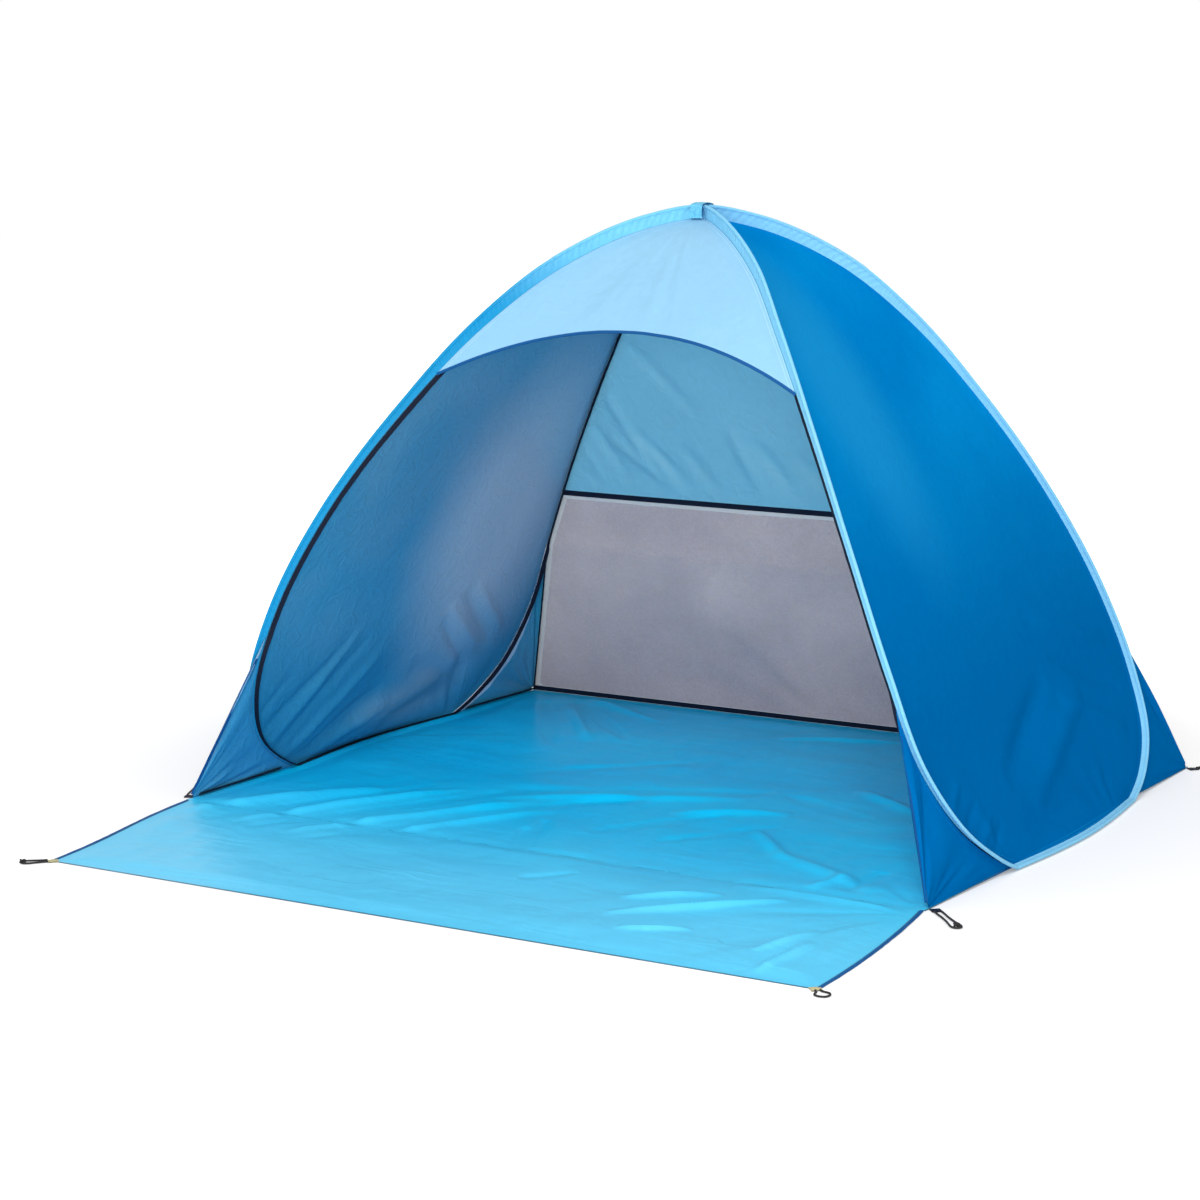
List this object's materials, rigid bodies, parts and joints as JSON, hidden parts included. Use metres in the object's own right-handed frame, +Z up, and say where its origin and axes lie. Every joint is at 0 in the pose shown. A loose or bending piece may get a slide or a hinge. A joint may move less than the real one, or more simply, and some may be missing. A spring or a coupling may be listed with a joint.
{
  "type": "pop-up beach tent",
  "caption": "Self-opening beach tent: two crossing spring-wire hoops carry a brow, back wall with net window, side walls and floor; a porch sheet folds out in front.",
  "frame": {"origin": "on the ground under the middle of the cabin floor", "axes": "+X to the right as seen when facing the back wall from the entrance, +Y from the entrance to the back wall, +Z up"},
  "size_m": [1.6717, 1.7749, 1.0999],
  "materials": {
    "sky_cloth": "satin coated polyester",
    "deep_blue_cloth": "satin coated polyester",
    "floor_cloth": "satin coated polyester",
    "sleeve_cloth": "matte polyester",
    "mesh_net": "fine woven net",
    "black_tape": "woven tape",
    "navy_tape": "woven tape",
    "spring_steel": "drawn wire",
    "black_elastic": "braided cover on elastic cord",
    "cream_webbing": "woven webbing"
  },
  "bodies": {
    "canopy": {"floor_sheet": "floor_cloth", "front_brow": "sky_cloth", "brow_hem": "navy_tape", "back_panel": "sky_cloth", "mesh_window": "mesh_net", "window_top_binding": "black_tape", "back_floor_binding": "black_tape", "crossing_tie": "sleeve_cloth"},
    "right_hoop": {"side_panel_right": "deep_blue_cloth", "hoop_sleeve_right": "sleeve_cloth", "hoop_wire_right": "spring_steel", "wire_ferrule_right": "spring_steel", "hoop_binding_right": "black_tape", "gusset_front_right": "deep_blue_cloth", "gusset_back_right": "deep_blue_cloth", "entrance_binding_right": "navy_tape", "corner_binding_right": "black_tape", "floor_binding_front_right": "black_tape", "floor_binding_back_right": "black_tape", "peg_tab_front_right": "black_tape", "peg_tab_back_right": "black_tape", "peg_loop_front_right": "black_elastic", "peg_loop_back_right": "black_elastic"},
    "left_hoop": {"side_panel_left": "deep_blue_cloth", "hoop_sleeve_left": "sleeve_cloth", "hoop_wire_left": "spring_steel", "wire_ferrule_left": "spring_steel", "hoop_binding_left": "black_tape", "gusset_front_left": "deep_blue_cloth", "gusset_back_left": "deep_blue_cloth", "entrance_binding_left": "navy_tape", "corner_binding_left": "black_tape", "floor_binding_front_left": "black_tape", "floor_binding_back_left": "black_tape", "peg_tab_front_left": "black_tape", "peg_tab_back_left": "black_tape", "peg_loop_front_left": "black_elastic", "peg_loop_back_left": "black_elastic"},
    "porch": {"porch_flap": "floor_cloth", "porch_binding_left": "navy_tape", "porch_binding_right": "navy_tape", "peg_tab_porch_left": "cream_webbing", "peg_tab_porch_right": "cream_webbing", "peg_loop_porch_left": "black_elastic", "peg_loop_porch_right": "black_elastic"}
  },
  "joints": [
    {"name": "right_hoop_fold", "type": "hinge", "parent": "canopy", "child": "right_hoop", "pos_m": [0, 0, 1.0735], "axis": [0, 1, 0], "range_deg": [0, 33], "stiffness_Nm_per_rad": 8, "springref_deg": -28.65, "deforming": ["floor_sheet", "front_brow", "brow_hem", "back_panel", "mesh_window", "window_top_binding", "back_floor_binding"]},
    {"name": "left_hoop_fold", "type": "hinge", "parent": "canopy", "child": "left_hoop", "pos_m": [0, 0, 1.0735], "axis": [0, 1, 0], "range_deg": [-33, 0], "stiffness_Nm_per_rad": 8, "springref_deg": 28.65, "deforming": ["floor_sheet", "front_brow", "brow_hem", "back_panel", "mesh_window", "window_top_binding", "back_floor_binding"]},
    {"name": "porch_fold", "type": "hinge", "parent": "canopy", "child": "porch", "pos_m": [0, -0.6, 0.001], "axis": [-1, 0, 0], "range_deg": [0, 90]}
  ],
  "couplings": [
    {"joint": "left_hoop_fold", "follows": "right_hoop_fold", "ratio": -1}
  ]
}
